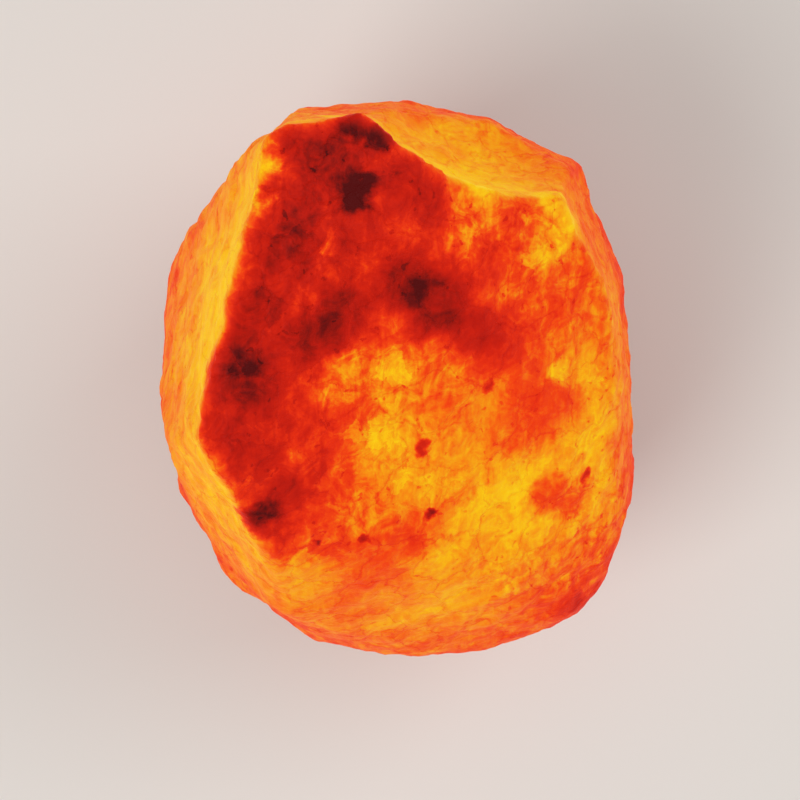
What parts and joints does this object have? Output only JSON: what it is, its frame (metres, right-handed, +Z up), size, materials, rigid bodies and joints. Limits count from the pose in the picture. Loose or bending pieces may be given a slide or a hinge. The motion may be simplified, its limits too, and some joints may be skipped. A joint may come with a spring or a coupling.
{
  "type": "salt crystal lamp",
  "caption": "Glowing hewn lump of rock salt on a turned wooden base, lit from a bore by a small filament lamp in a push-in lampholder.",
  "frame": {"origin": "on the table under the middle of the lamp's bounding box, which is also the axis of the bore and the base", "axes": "+Z up, -Y front, +Y back, where the cord channel is, +X right"},
  "size_m": [0.13, 0.1536, 0.1839],
  "materials": {
    "salt": "hewn, translucent, lit from inside",
    "wood": "turned and oiled",
    "felt": "felt",
    "zinc_steel": "zinc plated",
    "spring_steel": "bright spring steel",
    "black_plastic": "moulded, matt",
    "porcelain": "unglazed",
    "brass": "bright",
    "solder": "solder",
    "black_glass": "fused glass",
    "nickel_brass": "nickel plated brass",
    "clear_glass": "clear",
    "wire": "drawn wire",
    "tungsten": "glowing coil"
  },
  "bodies": {
    "lamp_body": {"salt_crystal": "salt", "wooden_base": "wood", "foot_pads": "felt", "base_screws": "zinc_steel"},
    "holder": {"holder_plate": "zinc_steel", "spring_clip": "spring_steel", "threaded_nipple": "zinc_steel", "nipple_nut": "zinc_steel", "holder_cup": "black_plastic", "holder_sleeve": "black_plastic", "contact_block": "porcelain", "screw_shell": "brass", "centre_contact": "brass", "terminal_blocks": "brass", "terminal_screws": "zinc_steel"},
    "bulb": {"lamp_tip": "solder", "lamp_insulator": "black_glass", "lamp_cap": "nickel_brass", "lamp_glass": "clear_glass", "lamp_stem": "clear_glass", "lead_wires": "wire", "filament_supports": "wire", "filament": "tungsten"}
  },
  "joints": [
    {"name": "holder_slide", "type": "slide", "parent": "lamp_body", "child": "holder", "axis": [0, 0, -1], "range_m": [0, 0.09], "deforming": ["spring_clip"]},
    {"name": "bulb_turn", "type": "hinge", "parent": "holder", "child": "bulb", "pos_m": [0, 0, 0.044], "axis": [0, 0, 1], "range_deg": [0, 1260]}
  ]
}
